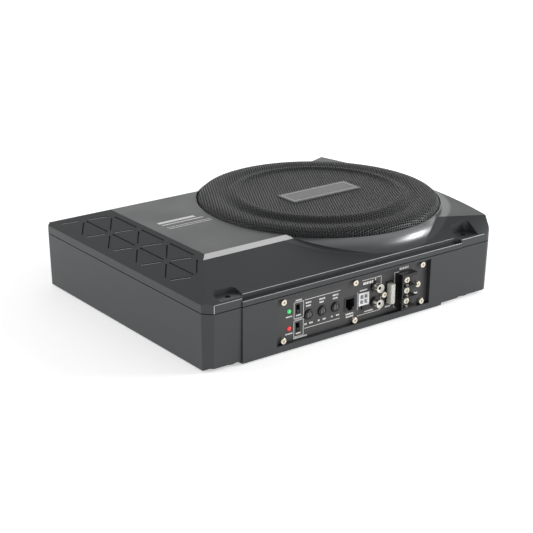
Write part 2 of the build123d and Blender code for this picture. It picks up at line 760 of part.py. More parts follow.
hex_size = 1.25
every_screw_xz = panel_screw_xz + inner_screw_xz
with BuildPart() as panel_screws:
    with BuildSketch(front(panel_front)):
        with Locations(every_screw_xz):
            Circle(panel_screw_head_r)
    extrude(amount=panel_screw_head)
    chamfer(panel_screws.faces().sort_by(Axis.Y)[:len(every_screw_xz)].edges(), 0.35)
    with BuildSketch(front(panel_front - panel_screw_head)):
        with Locations(every_screw_xz):
            RegularPolygon(hex_size, 6)
    extrude(amount=-1.4, mode=Mode.SUBTRACT)
    with BuildSketch(front(panel_front)):
        with Locations(every_screw_xz):
            Circle(panel_screw_r)
    extrude(amount=-(panel_sheet + ledge_depth - 0.5))
save(panel_screws, "panel_screws")


def led(name, place):
    """A round indicator: a cylinder from the board with a domed nose."""
    with BuildPart() as lamp:
        with BuildSketch(front(board_front)):
            with Locations(place):
                Circle(led_r)
        extrude(amount=board_front - panel_front + led_proud)
        fillet(lamp.faces().sort_by(Axis.Y)[0].edges(), led_r - 0.5)
    save(lamp, name)


led("power_led", led_xz[0])
led("protect_led", led_xz[1])

slider_base = (4.0, 5.4)
slider_base_deep = 2.0
slider_tab = (3.0, 3.2)
slider_lap = 0.2
slot_size = (slider_base[0] + 2 * slider_lap, slider_base[1] + switch_travel + 2 * slider_lap)
switch_wall = 0.8
switch_body_size = (slot_size[0] + 2.6, slot_size[1] + 2 * switch_wall)
switch_deep = 8.0
switch_back = panel_back + switch_deep
slot_floor = panel_back + 4.0
switch_leg_r = 0.5
switch_leg_x = 1.8
with BuildPart() as switch_bodies:
    with BuildSketch(front(switch_back)):
        with Locations(switch_xz):
            Rectangle(*switch_body_size)
    extrude(amount=switch_deep)
    with BuildSketch(front(slot_floor)):
        with Locations(switch_xz):
            Rectangle(*slot_size)
    extrude(amount=10, mode=Mode.SUBTRACT)
    with BuildSketch(front(switch_back)):
        with Locations([(x + side * switch_leg_x, z) for x, z in switch_xz for side in (-1, 1)]):
            Circle(switch_leg_r)
    extrude(amount=-(board_front + board_sheet - switch_back))
save(switch_bodies, "switch_bodies")


def switch_slider(name, place):
    """The slider of one switch, drawn at the lower end of its travel."""
    x, z = place[0], place[1] - switch_travel / 2
    slider_front = slot_floor - slider_lap - slider_base_deep
    with BuildPart() as slider:
        with BuildSketch(front(slot_floor - slider_lap)):
            with Locations((x, z)):
                Rectangle(*slider_base)
        extrude(amount=slider_base_deep)
        with BuildSketch(front(slider_front)):
            with Locations((x, z)):
                Rectangle(*slider_tab)
        extrude(amount=slider_front - panel_front + 0.6)
        chamfer(slider.faces().sort_by(Axis.Y)[0].edges(), 0.4)
    save(slider, name)


switch_slider("phase_switch_slider", switch_xz[0])
switch_slider("auto_on_switch_slider", switch_xz[1])

pot_size = (10.0, 11.0)
pot_deep = 8.0
pot_front = panel_back + 1.5
shaft_deep = 5.0
dial_cap = 3.2
dial_slot = (0.9, 5.6)


def dial(name, place):
    """A slotted trim dial with the shaft that turns inside its potentiometer."""
    with BuildPart() as knob:
        with BuildSketch(front(panel_front - dial_proud + dial_cap)):
            with Locations(place):
                Circle(dial_r)
        extrude(amount=dial_cap)
        chamfer(knob.faces().sort_by(Axis.Y)[0].edges(), 0.5)
        with BuildSketch(front(panel_front - dial_proud)):
            with Locations(place):
                Circle(dial_r - 1.1)
                Circle(dial_r - 1.9, mode=Mode.SUBTRACT)
        extrude(amount=-0.5, mode=Mode.SUBTRACT)
        with BuildSketch(front(panel_front - dial_proud)):
            with Locations(place):
                Rectangle(*dial_slot)
        extrude(amount=-1.0, mode=Mode.SUBTRACT)
        with BuildSketch(front(pot_front + shaft_deep)):
            with Locations(place):
                Circle(dial_shaft_r)
        extrude(amount=pot_front + shaft_deep - (panel_front - dial_proud + dial_cap))
    save(knob, name)


for name, place in zip(("low_pass_dial", "bass_boost_dial", "input_gain_dial"), dial_xz):
    dial(name, place)

with BuildPart() as potentiometers:
    with BuildSketch(front(board_front)):
        with Locations(dial_xz):
            Rectangle(*pot_size)
    extrude(amount=board_front - pot_front)
    with BuildSketch(front(pot_front + shaft_deep + 0.3)):
        with Locations(dial_xz):
            Circle(dial_shaft_r + running_fit)
    extrude(amount=20, mode=Mode.SUBTRACT)
save(potentiometers, "potentiometers")

jack_wall = (jack_size[0] - jack_mouth[0]) / 2
with BuildPart() as remote_jack:
    with BuildSketch(front(board_front)):
        with Locations((jack_x, jack_z)):
            Rectangle(*jack_size)
    extrude(amount=board_front - panel_front + 0.4)
    with BuildSketch(front(panel_front + jack_deep)):
        with Locations((jack_x, jack_z + 0.9)):
            Rectangle(*jack_mouth)
        with Locations((jack_x, jack_z + 0.9 - jack_mouth[1] / 2 - 0.9)):
            Rectangle(6.0, 2.4)
        with Locations((jack_x, jack_z + 0.9 - jack_mouth[1] / 2 - 1.9)):
            Rectangle(3.4, 2.4)
    extrude(amount=30, mode=Mode.SUBTRACT)
save(remote_jack, "remote_jack")

with BuildPart() as jack_contacts:
    with BuildSketch(front(panel_front + jack_deep)):
        with Locations((jack_x, jack_z + 0.9 + jack_mouth[1] / 2 - 0.5)):
            with GridLocations(1.27, 1, 6, 1):
                Rectangle(0.5, 0.5)
    extrude(amount=jack_deep - 3)
save(jack_contacts, "jack_contacts")

socket_deep = 9.0
pin_side = 1.1
with BuildPart() as speaker_level_socket:
    with BuildSketch(front(board_front)):
        with Locations((socket_x, socket_z)):
            Rectangle(socket_size - 0.2, socket_size - 0.2)
    extrude(amount=board_front - panel_front + 0.9)
    with BuildSketch(front(panel_front + socket_deep)):
        with Locations((socket_x, socket_z)):
            with GridLocations(socket_pitch, socket_pitch, 2, 2):
                Rectangle(socket_cell, socket_cell)
    extrude(amount=30, mode=Mode.SUBTRACT)
    with BuildSketch(front(board_front)):
        with Locations((socket_x, socket_z)):
            with GridLocations(socket_pitch, socket_pitch, 2, 2):
                Rectangle(pin_side, pin_side)
    extrude(amount=30, mode=Mode.SUBTRACT)
save(speaker_level_socket, "speaker_level_socket")

with BuildPart() as socket_pins:
    with BuildSketch(front(board_front)):
        with Locations((socket_x, socket_z)):
            with GridLocations(socket_pitch, socket_pitch, 2, 2):
                Rectangle(pin_side, pin_side)
    extrude(amount=board_front - panel_front - 3.0)
save(socket_pins, "socket_pins")

with BuildPart() as socket_latch:
    with BuildSketch(front(panel_back + 4)):
        with Locations((socket_x, socket_z - socket_size / 2 - 2.0)):
            Rectangle(4.4, 3.8)
    extrude(amount=panel_sheet + 4 + 1.4)
save(socket_latch, "socket_latch")

rca_block = (14.0, 27.0)
collar_proud = 2.0
rca_back = panel_back + 3.0
rca_root_r = rca_shell_r - 0.25   # the shell steps down where its body holds it
with BuildPart() as rca_body:
    with BuildSketch(front(board_front)):
        with Locations((rca_x, (rca_z[0] + rca_z[1]) / 2)):
            Rectangle(*rca_block)
    extrude(amount=board_front - panel_back)
    with BuildSketch(front(panel_back)):
        with Locations(rca_xz):
            Circle(collar_r)
    extrude(amount=panel_sheet + collar_proud)
    with BuildSketch(front(rca_back)):
        with Locations(rca_xz):
            Circle(rca_root_r)
    extrude(amount=30, mode=Mode.SUBTRACT)
    with BuildSketch(front(panel_back + 5)):
        with Locations(inner_screw_xz[0]):
            Circle(panel_screw_r)
    extrude(amount=30, mode=Mode.SUBTRACT)
save(rca_body, "rca_body")

rca_front = panel_front - rca_length
with BuildPart() as rca_shells:
    with BuildSketch(front(panel_front - collar_proud)):
        with Locations(rca_xz):
            Circle(rca_shell_r)
    extrude(amount=rca_length - collar_proud)
    with BuildSketch(front(rca_back)):
        with Locations(rca_xz):
            Circle(rca_root_r)
    extrude(amount=rca_back - (panel_front - collar_proud))
    with BuildSketch(front(rca_back)):
        with Locations(rca_xz):
            Circle(rca_shell_r - rca_shell_wall)
    extrude(amount=rca_back - rca_front, mode=Mode.SUBTRACT)
save(rca_shells, "rca_shells")

rca_contact_wall = 0.35
with BuildPart() as rca_insulators:
    with BuildSketch(front(rca_back)):
        with Locations(rca_xz):
            Circle(rca_shell_r - rca_shell_wall)
            Circle(rca_pin_r + rca_contact_wall, mode=Mode.SUBTRACT)
    extrude(amount=rca_back - rca_front - 1.0)
save(rca_insulators, "rca_insulators")

with BuildPart() as rca_contacts:
    with BuildSketch(front(rca_back)):
        with Locations(rca_xz):
            Circle(rca_pin_r + rca_contact_wall)
            Circle(rca_pin_r, mode=Mode.SUBTRACT)
    extrude(amount=rca_back - rca_front - 1.3)
save(rca_contacts, "rca_contacts")

# ---------------------------------------------------------------- fuse
fuse_fit = 0.15
blade = (0.65, 5.2)
blade_span = 12.0
blade_long = 9.0
fuse_floor = panel_front - fuse_proud + fuse_depth
fuse_holder_back = fuse_floor + blade_long + 3.0
fuse_holder_size = (fuse_body[0] + 3.0, fuse_body[1] + 3.0)
blade_xz = [(fuse_x, fuse_z + s * blade_span / 2) for s in (-1, 1)]
with BuildPart() as fuse_holder:
    with BuildSketch(front(fuse_holder_back)):
        with Locations((fuse_x, fuse_z)):
            Rectangle(*fuse_holder_size)
    extrude(amount=fuse_holder_back - panel_front + 0.8)
    with BuildSketch(front(fuse_floor + fuse_fit)):
        with Locations((fuse_x, fuse_z)):
            Rectangle(fuse_body[0] + 2 * fuse_fit, fuse_body[1] + 2 * fuse_fit)
    extrude(amount=30, mode=Mode.SUBTRACT)
    with BuildSketch(front(fuse_floor + blade_long + 1)):
        with Locations(blade_xz):
            Rectangle(blade[0] + 2 * fuse_fit, blade[1] + 2 * fuse_fit)
    extrude(amount=30, mode=Mode.SUBTRACT)
save(fuse_holder, "fuse_holder")

with BuildPart() as fuse:
    with BuildSketch(front(fuse_floor)):
        with Locations((fuse_x, fuse_z)):
            Rectangle(*fuse_body)
    extrude(amount=fuse_depth)
    fillet(fuse.faces().sort_by(Axis.Y)[0].edges(), 0.5)
    with BuildSketch(front(panel_front - fuse_proud + 3.2)):
        with Locations((fuse_x + fuse_body[0] / 2, fuse_z), (fuse_x - fuse_body[0] / 2, fuse_z)):
            Rectangle(1.4, 11.0)
    extrude(amount=-(fuse_depth - 4.4), mode=Mode.SUBTRACT)
save(fuse, "fuse")

with BuildPart() as fuse_blades:
    with BuildSketch(front(fuse_floor)):
        with Locations(blade_xz):
            Rectangle(*blade)
    extrude(amount=-blade_long)
save(fuse_blades, "fuse_blades")

# ---------------------------------------------------------------- power terminals
terminal_front = panel_front - terminal_proud
terminal_floor = terminal_front + terminal_floor_deep
terminal_top = terminal_rows[0] + terminal_pitch / 2 + 2.0
terminal_low = terminal_rows[-1] - terminal_pitch / 2
terminal_back = panel_back + 9.0
cell_high = terminal_pitch - terminal_rail
terminal_left_wall = 1.5
with BuildPart() as terminal_block:
    with BuildSketch(front(panel_front)):
        with Locations((terminal_x, (terminal_low + terminal_top) / 2)):
            Rectangle(terminal_width, terminal_top - terminal_low + terminal_rail)
    extrude(amount=terminal_proud)
    with BuildSketch(front(terminal_back)):
        with Locations((terminal_x, terminal_z)):
            Rectangle(*neck_size)
    extrude(amount=terminal_back - panel_front)
    with BuildSketch(front(terminal_floor)):
        with Locations([(terminal_x + terminal_left_wall, z) for z in terminal_rows]):
            Rectangle(terminal_width, cell_high)
    extrude(amount=30, mode=Mode.SUBTRACT)
    with BuildSketch(front(terminal_floor + 8)):
        with Locations(terminal_xz):
            Circle(terminal_screw_r + running_fit)
    extrude(amount=30, mode=Mode.SUBTRACT)
    # lug on the right that the inner panel screw holds
    with BuildSketch(front(panel_back + 4)):
        with Locations((terminal_x + 13.0, terminal_z)):
            Rectangle(13.0, 9.0)
        with Locations(inner_screw_xz[1]):
            Circle(panel_screw_r, mode=Mode.SUBTRACT)
    extrude(amount=4.0)
save(terminal_block, "terminal_block")

clamp_side = 8.0
head_r = 3.5
head_high = 2.4
clamp_names = ("battery_clamp", "remote_clamp", "ground_clamp")
screw_names = ("battery_screw", "remote_screw", "ground_screw")
for clamp_name, screw_name, place in zip(clamp_names, screw_names, terminal_xz):
    with BuildPart() as clamp:
        with BuildSketch(front(terminal_floor)):
            with Locations(place):
                Rectangle(clamp_side, clamp_side)
                Circle(terminal_screw_r + running_fit, mode=Mode.SUBTRACT)
        extrude(amount=terminal_plate)
    save(clamp, clamp_name)
    with BuildPart() as screw:
        with BuildSketch(front(terminal_floor - terminal_plate)):
            with Locations(place):
                Circle(head_r)
        extrude(amount=head_high)
        fillet(screw.faces().sort_by(Axis.Y)[0].edges(), 0.9)
        with BuildSketch(front(terminal_floor - terminal_plate - head_high)):
            with Locations(place):
                Rectangle(4.4, 0.9)
                Rectangle(0.9, 4.4)
        extrude(amount=-1.3, mode=Mode.SUBTRACT)
        with BuildSketch(front(terminal_floor - terminal_plate)):
            with Locations(place):
                Circle(terminal_screw_r)
        extrude(amount=-(terminal_plate + 6.0))
    save(screw, screw_name)

# ================================================================ electronics
board_low_z = panel_low_z + 0.4
board_high_z = panel_top_z - 0.4
board_x = (panel_x - panel_width / 2 + 4.0, rca_x + 10.0)
with BuildPart() as control_board:
    with BuildSketch(front(board_front + board_sheet)):
        with Locations(((board_x[0] + board_x[1]) / 2, (board_low_z + board_high_z) / 2)):
            Rectangle(board_x[1] - board_x[0], board_high_z - board_low_z)
        with Locations([(x + side * switch_leg_x, z) for x, z in switch_xz for side in (-1, 1)]):
            Circle(switch_leg_r, mode=Mode.SUBTRACT)
    extrude(amount=board_sheet)
save(control_board, "control_board")

spacer_r = 2.6
spacer_x = (panel_x - 44.0, panel_x + 17.0)
with BuildPart() as panel_spacers:
    with BuildSketch(front(board_front)):
        with Locations([(x, z) for x in spacer_x
                        for z in (panel_low_z + spacer_r, panel_top_z - spacer_r)]):
            RegularPolygon(spacer_r, 6)
    extrude(amount=board_front - ledge_back)
save(panel_spacers, "panel_spacers")

amp_x = (left_x + 16.0, grille_x - basket_mouth_r - 27.0)
amp_y = (board_front + 34.0, mid_y + mount_spacing_y / 2 - 23.5)
standoff = 5.5
post_clear = 0.6
amp_z = floor_z + standoff
amp_middle = ((amp_x[0] + amp_x[1]) / 2, (amp_y[0] + amp_y[1]) / 2)
amp_size = (amp_x[1] - amp_x[0], amp_y[1] - amp_y[0])
hole_inset = 6.0
standoff_grid = (amp_size[0] - 2 * hole_inset, amp_size[1] - 2 * hole_inset)
board_hole_r = 1.6
with BuildPart() as amplifier_board:
    with BuildSketch(Plane.XY.offset(amp_z)):
        with Locations(amp_middle):
            Rectangle(*amp_size)
            with GridLocations(*standoff_grid, 2, 2):
                Circle(board_hole_r, mode=Mode.SUBTRACT)
        with Locations(posts_xy):
            Circle(post_r + post_clear, mode=Mode.SUBTRACT)
    extrude(amount=board_sheet)
save(amplifier_board, "amplifier_board")

with BuildPart() as board_standoffs:
    with BuildSketch(Plane.XY.offset(floor_z)):
        with Locations(amp_middle):
            with GridLocations(*standoff_grid, 2, 2):
                RegularPolygon(3.2, 6)
                Circle(board_hole_r - 0.1, mode=Mode.SUBTRACT)
    extrude(amount=standoff)
save(board_standoffs, "board_standoffs")

amp_top_z = amp_z + board_sheet
with BuildPart() as board_screws:
    with BuildSketch(Plane.XY.offset(amp_top_z)):
        with Locations(amp_middle):
            with GridLocations(*standoff_grid, 2, 2):
                Circle(2.8)
    extrude(amount=1.8)
    with BuildSketch(Plane.XY.offset(amp_top_z)):
        with Locations(amp_middle):
            with GridLocations(*standoff_grid, 2, 2):
                Circle(board_hole_r - 0.1)
    extrude(amount=-5.0)
save(board_screws, "board_screws")

toroid_xy = (amp_x[0] + 46.0, amp_y[0] + 42.0)
toroid_r = (9.0, 19.0)
toroid_high = 15.0
with BuildPart() as power_transformer:
    with BuildSketch(Plane.XY.offset(amp_top_z)):
        with Locations(toroid_xy):
            Circle(toroid_r[1])
            Circle(toroid_r[0], mode=Mode.SUBTRACT)
    extrude(amount=toroid_high)
    fillet(power_transformer.faces().filter_by(Plane.XY).edges(), 3.0)
save(power_transformer, "power_transformer")

can_r = 8.0
can_high = 25.0
with BuildPart() as capacitors:
    with BuildSketch(Plane.XY.offset(amp_top_z)):
        with Locations((amp_x[0] + 40.0, amp_y[1] - 52.0)):
            with GridLocations(2 * can_r + 1.5, 2 * can_r + 1.5, 2, 2):
                Circle(can_r)
    extrude(amount=can_high)
    fillet(capacitors.faces().sort_by(Axis.Z)[-4:].edges(), 1.2)
save(capacitors, "capacitors")

bar_thick = 6.0
bar_x = left_x + wall
bar_y = (amp_y[0] + 8, amp_y[1] - 8)
with BuildPart() as heat_bar:
    with BuildSketch(Plane.XY.offset(floor_z)):
        with Locations((bar_x, (bar_y[0] + bar_y[1]) / 2)):
            Rectangle(bar_thick, bar_y[1] - bar_y[0], align=(Align.MIN, Align.CENTER))
        with Locations([(x, y) for x, y in posts_xy if x < left_x + 2 * post_inset]):
            Circle(post_r + post_clear, mode=Mode.SUBTRACT)
    extrude(amount=26.0)
save(heat_bar, "heat_bar")

device = (4.4, 10.0, 15.0)
device_x = bar_x + bar_thick
device_y = [amp_middle[1] + 17.0 * (i - 2) for i in range(5)]
device_z = amp_top_z + 3.0
with BuildPart() as power_transistors:
    for y in device_y:
        with BuildSketch(Plane.XY.offset(device_z)):
            with Locations((device_x, y)):
                Rectangle(device[0], device[1], align=(Align.MIN, Align.CENTER))
        extrude(amount=device[2])
save(power_transistors, "power_transistors")

# connector strip for the speaker leads, inside the driver's basket
strip_size = (5.0, 18.0)
with BuildPart() as driver_terminal:
    with BuildSketch(Plane.XY.offset(spider_z)):
        with Locations((grille_x - basket_neck_r, grille_y)):
            Rectangle(*strip_size)
    extrude(amount=8.0)
save(driver_terminal, "driver_terminal")
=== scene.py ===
"""Looks for a slim powered subwoofer with a domed perforated grille and a control panel."""
import json
import math

import bpy
import numpy as np
from mathutils import Matrix, Vector


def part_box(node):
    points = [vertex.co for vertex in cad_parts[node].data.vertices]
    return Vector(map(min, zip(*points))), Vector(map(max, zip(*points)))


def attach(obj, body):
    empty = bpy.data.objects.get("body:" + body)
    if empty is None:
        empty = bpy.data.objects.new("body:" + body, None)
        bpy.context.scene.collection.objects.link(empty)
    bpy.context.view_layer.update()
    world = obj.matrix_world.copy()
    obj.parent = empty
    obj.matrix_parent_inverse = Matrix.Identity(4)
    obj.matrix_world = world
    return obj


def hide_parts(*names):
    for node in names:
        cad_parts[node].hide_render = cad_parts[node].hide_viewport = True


MM = 0.001
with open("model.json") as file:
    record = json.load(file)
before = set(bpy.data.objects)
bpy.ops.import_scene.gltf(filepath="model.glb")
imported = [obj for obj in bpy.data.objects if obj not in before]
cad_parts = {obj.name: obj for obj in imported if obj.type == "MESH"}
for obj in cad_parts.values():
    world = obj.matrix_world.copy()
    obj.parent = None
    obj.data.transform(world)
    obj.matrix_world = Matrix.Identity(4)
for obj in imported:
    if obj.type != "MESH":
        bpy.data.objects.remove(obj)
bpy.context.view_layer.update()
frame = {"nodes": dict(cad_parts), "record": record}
bpy.context.scene.view_settings.view_transform = "Standard"
nodes = frame["nodes"]


# ------------------------------------------------------------------ shader maths
class Value:
    """A number that varies over a surface. Operators add Math nodes."""

    def __init__(self, finish, socket):
        self.finish, self.socket = finish, socket

    def math(self, operation, *others):
        node = self.finish.add("ShaderNodeMath", {"operation": operation})
        for slot, item in zip(node.inputs, (self, *others)):
            self.finish.feed(slot, item)
        return Value(self.finish, node.outputs[0])

    def __add__(self, other):
        return self.math("ADD", other)

    def __sub__(self, other):
        return self.math("SUBTRACT", other)

    def __mul__(self, other):
        return self.math("MULTIPLY", other)

    def __pow__(self, other):
        return self.math("POWER", other)

    def __rsub__(self, other):
        return self.math("MULTIPLY", -1.0).math("ADD", other)

    __radd__ = __add__
    __rmul__ = __mul__

    def ramp(self, low, high, start=0.0, end=1.0):
        """Smoothly from start to end as the value goes from low to high."""
        node = self.finish.add("ShaderNodeMapRange", {"interpolation_type": "SMOOTHSTEP"},
                               {"Value": self, "From Min": low, "From Max": high,
                                "To Min": start, "To Max": end})
        return Value(self.finish, node.outputs[0])


class Finish:
    """One procedural material round a Principled shader."""

    def __init__(self, name, **constants):
        self.material = bpy.data.materials.new(name)
        self.material.use_nodes = True
        self.tree = self.material.node_tree
        self.tree.nodes.clear()
        output = self.add("ShaderNodeOutputMaterial")
        self.shader = self.add("ShaderNodeBsdfPrincipled", {}, constants)
        self.tree.links.new(self.shader.outputs[0], output.inputs[0])
        self.coords = self.add("ShaderNodeTexCoord").outputs["Object"]

    def feed(self, slot, item):
        if isinstance(item, Value):
            self.tree.links.new(item.socket, slot)
        elif isinstance(item, bpy.types.NodeSocket):
            self.tree.links.new(item, slot)
        elif isinstance(item, tuple) and len(item) == 3 and slot.type == "RGBA":
            slot.default_value = (*item, 1.0)
        else:
            slot.default_value = item

    def add(self, kind, settings=None, inputs=None):
        """A node of that kind: its settings first, then its sockets' values or links."""
        node = self.tree.nodes.new(kind)
        for key, item in (settings or {}).items():
            setattr(node, key, item)
        for key, item in (inputs or {}).items():
            self.feed(node.inputs[key], item)
        return node

    def noise(self, scale, detail=2.0, stretch=(1.0, 1.0, 1.0)):
        """Noise from 0 to 1 with features about 1 / scale metres across."""
        placed = self.add("ShaderNodeMapping", {}, {"Vector": self.coords, "Scale": stretch})
        node = self.add("ShaderNodeTexNoise", {}, {"Vector": placed.outputs[0], "Scale": scale,
                                                   "Detail": detail})
        return Value(self, node.outputs[0])

    def axis(self, index):
        node = self.add("ShaderNodeSeparateXYZ", {}, {0: self.coords})
        return Value(self, node.outputs[index])

    def colour_between(self, share, first, second):
        node = self.add("ShaderNodeMix", {"data_type": "RGBA"},
                        {"Factor": share})
        self.feed(node.inputs[6], first)
        self.feed(node.inputs[7], second)
        return node.outputs[2]

    def colour(self, item):
        self.feed(self.shader.inputs["Base Color"], item)

    def rough(self, item):
        self.feed(self.shader.inputs["Roughness"], item)

    def bump(self, height, depth):
        """Relief of that depth in metres."""
        node = self.add("ShaderNodeBump", {}, {"Strength": 1.0, "Distance": depth,
                                               "Height": height})
        self.feed(self.shader.inputs["Normal"], node.outputs[0])


def mixed(colour, gain):
    return tuple(min(1.0, c * gain) for c in colour)


def grained(name, colour, rough, metal=0.0, grain=1500.0, depth=0.00001, spread=0.18,
            stretch=(1.0, 1.0, 1.0), **constants):
    """A finish with a fine grain in relief, and broad and fine changes of tone and gloss."""
    made = Finish(name, Metallic=metal, **constants)
    fine = made.noise(grain, 2.0, stretch)
    broad = made.noise(22.0, 3.0)
    tone = fine * 0.45 + broad * 0.55
    made.gloss = (broad * 0.5 + fine * 0.5).ramp(0.25, 0.75, rough * 0.88, rough * 1.12)
    made.tint = made.colour_between(tone, mixed(colour, 1 - spread), mixed(colour, 1 + spread))
    made.colour(made.tint)
    made.rough(made.gloss)
    made.bump(fine, depth)
    return made


# ------------------------------------------------------------------ finishes
finishes = {}
cast = grained("satin_cast_paint", (0.04, 0.043, 0.045), 0.42, 0.3, 2600.0, 0.000012, 0.14)
finishes["cast_grey"] = cast.material
disc_low, disc_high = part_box("grille")
off_x = cast.axis(0) - (disc_low[0] + disc_high[0]) / 2
off_y = cast.axis(1) - (disc_low[1] + disc_high[1]) / 2
from_disc = (off_x * off_x + off_y * off_y) ** 0.5
disc_r = (disc_high[0] - disc_low[0]) / 2
# Band round the grille's skirt: a glossier, more metallic finish, with its colour lightened as
# painted highlight.
skirt_metal_and_highlight = from_disc.ramp(disc_r + 0.0085, disc_r + 0.0125, 1.0, 0.0)
skirt_metal_and_highlight = skirt_metal_and_highlight * cast.axis(2).ramp(disc_high[2] - 0.0087, disc_high[2] - 0.008, 1.0, 0.0)
cast.colour(cast.colour_between(skirt_metal_and_highlight, cast.tint, (0.13, 0.134, 0.137)))
cast.rough(cast.gloss - skirt_metal_and_highlight * 0.1)
cast.feed(cast.shader.inputs["Metallic"], skirt_metal_and_highlight * 0.55 + 0.3)
finishes["panel_grey"] = grained("panel_powder_coat", (0.042, 0.042, 0.042), 0.5, 0.1, 3200.0,
                                 0.00001, 0.12).material
finishes["mesh_black"] = grained("grille_paint", (0.016, 0.017, 0.018), 0.42, 0.2, 900.0,
                                 0.000006, 0.15).material
finishes["badge_silver"] = grained("brushed_badge", (0.13, 0.13, 0.133), 0.45, 0.5, 1400.0,
                                   0.000006, 0.3, (0.02, 1.0, 1.0)).material
finishes["black_rubber"] = grained("black_rubber", (0.013, 0.013, 0.013), 0.75, 0.0, 900.0,
                                   0.00002).material
finishes["zinc_steel"] = grained("zinc_plate", (0.78, 0.72, 0.62), 0.28, 1.0, 700.0,
                                 0.000006, 0.12).material
finishes["nickel"] = grained("nickel_plate", (0.72, 0.68, 0.6), 0.24, 1.0, 600.0,
                             0.000005, 0.12).material
finishes["black_steel"] = grained("black_steel", (0.02, 0.02, 0.021), 0.42, 0.4, 900.0).material
finishes["ferrite"] = grained("ferrite", (0.035, 0.035, 0.036), 0.7, 0.0, 1800.0, 0.00003).material
finishes["copper"] = grained("enamelled_copper", (0.42, 0.15, 0.06), 0.32, 0.9, 1500.0, 0.00003,
                             0.25, (1.0, 1.0, 0.2)).material
finishes["cone_black"] = grained("moulded_cone", (0.014, 0.014, 0.015), 0.55, 0.0, 700.0,
                                 0.00003).material
finishes["black_plastic"] = grained("glossy_black_plastic", (0.006, 0.006, 0.006), 0.22, 0.0,
                                    500.0, 0.000004, 0.1).material
finishes["soft_black_plastic"] = grained("matt_black_plastic", (0.013, 0.013, 0.013), 0.5, 0.0,
                                         2200.0, 0.00001).material
finishes["white_plastic"] = grained("white_nylon", (0.72, 0.73, 0.74), 0.42, 0.0, 1500.0,
                                    0.000006, 0.05).material
finishes["board_green"] = grained("circuit_board", (0.015, 0.1, 0.045), 0.38, 0.0, 420.0,
                                  0.00002, 0.3).material


def cloth():
    """Woven cloth: two crossed waves about half a millimetre apart."""
    made = Finish("dipped_cloth", Roughness=0.8)
    weave = None
    for axis in ("X", "Y"):
        wave = made.add("ShaderNodeTexWave", {"bands_direction": axis},
                        {"Vector": made.coords, "Scale": 620.0, "Distortion": 0.4})
        band = Value(made, wave.outputs["Fac"])
        weave = band if weave is None else weave * band
    made.colour(made.colour_between(weave, (0.16, 0.1, 0.04), (0.5, 0.34, 0.15)))
    made.bump(weave, 0.0001)
    return made.material


def sleeved_can():
    """A blue sleeve with a bare aluminium top."""
    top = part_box("capacitors")[1][2]
    made = Finish("capacitor_sleeve")
    bare = made.axis(2).ramp(top - 0.0016, top - 0.0012)
    made.colour(made.colour_between(bare, (0.012, 0.02, 0.09), (0.7, 0.7, 0.7)))
    made.rough(made.noise(400.0).ramp(0.2, 0.8, 0.22, 0.36))
    made.feed(made.shader.inputs["Metallic"], bare)
    return made.material


def lit_lens(name, colour, glow):
    """A coloured lens, lit from inside, with a speckled colour and glow."""
    made = Finish(name, **{"Emission Strength": 1.0, "Coat Weight": 0.6, "Roughness": 0.2})
    speckle = made.noise(900.0)
    made.colour(made.colour_between(speckle, mixed(colour, 0.8), colour))
    made.feed(made.shader.inputs["Emission Color"],
              made.colour_between(speckle, mixed(glow, 0.85), glow))
    return made.material


def fuse_body():
    """Pale see-through plastic."""
    made = Finish("clear_fuse_body", **{"Transmission Weight": 0.35, "IOR": 1.5})
    cloud = made.noise(260.0)
    made.colour(made.colour_between(cloud, (0.62, 0.62, 0.56), (0.85, 0.85, 0.8)))
    made.rough(cloud.ramp(0.2, 0.8, 0.18, 0.3))
    return made.material


def dial_finish(node):
    """A black rim round a grey face, by distance from the dial's axis."""
    low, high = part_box(node)
    made = Finish(node + "_finish")
    dx = made.axis(0) - (low[0] + high[0]) / 2
    dz = made.axis(2) - (low[2] + high[2]) / 2
    face_r = 0.0026
    face = ((dx * dx + dz * dz) ** 0.5).ramp(face_r - 0.0001, face_r + 0.0001, 1.0, 0.0)
    made.colour(made.colour_between(face, (0.008, 0.008, 0.008), (0.09, 0.09, 0.09)))
    made.rough(made.noise(1500.0).ramp(0.2, 0.8, 0.32, 0.48))
    return made.material


finishes["tan_cloth"] = cloth()
finishes["can_blue"] = sleeved_can()
finishes["green_lens"] = lit_lens("power_lens", (0.05, 0.5, 0.14), (0.02, 0.42, 0.1))
finishes["red_lens"] = lit_lens("protect_lens", (0.6, 0.03, 0.03), (0.6, 0.01, 0.01))
finishes["clear_fuse"] = fuse_body()

for row in frame["record"]["subparts"]:
    shape = nodes[row["node"]].data
    shape.materials.clear()
    finish = finishes[row["material_slot"]]
    shape.materials.append(dial_finish(row["node"]) if row["node"].endswith("_dial") else finish)


# ------------------------------------------------------------------ making meshes
def piece(name, points, faces, finish, body="case", smooth=True):
    """A mesh object from arrays of points in metres and of corner numbers."""
    shape = bpy.data.meshes.new(name)
    shape.from_pydata(np.asarray(points, float).tolist(), [], np.asarray(faces).tolist())
    shape.update()
    shape.polygons.foreach_set("use_smooth", np.full(len(shape.polygons), smooth))
    shape.materials.append(finish)
    made = bpy.data.objects.new(name, shape)
    bpy.context.scene.collection.objects.link(made)
    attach(made, body)
    return made


def hermite(xs, ys, at):
    """Smooth curve through the points: cubic pieces whose slopes are the mean of their sides."""
    xs, ys = np.asarray(xs, float), np.asarray(ys, float)
    slopes = np.gradient(ys, xs)
    k = np.clip(np.searchsorted(xs, at) - 1, 0, len(xs) - 2)
    h = xs[k + 1] - xs[k]
    t = (at - xs[k]) / h
    return ((2 * t ** 3 - 3 * t ** 2 + 1) * ys[k] + (t ** 3 - 2 * t ** 2 + t) * h * slopes[k]
            + (-2 * t ** 3 + 3 * t ** 2) * ys[k + 1] + (t ** 3 - t ** 2) * h * slopes[k + 1])


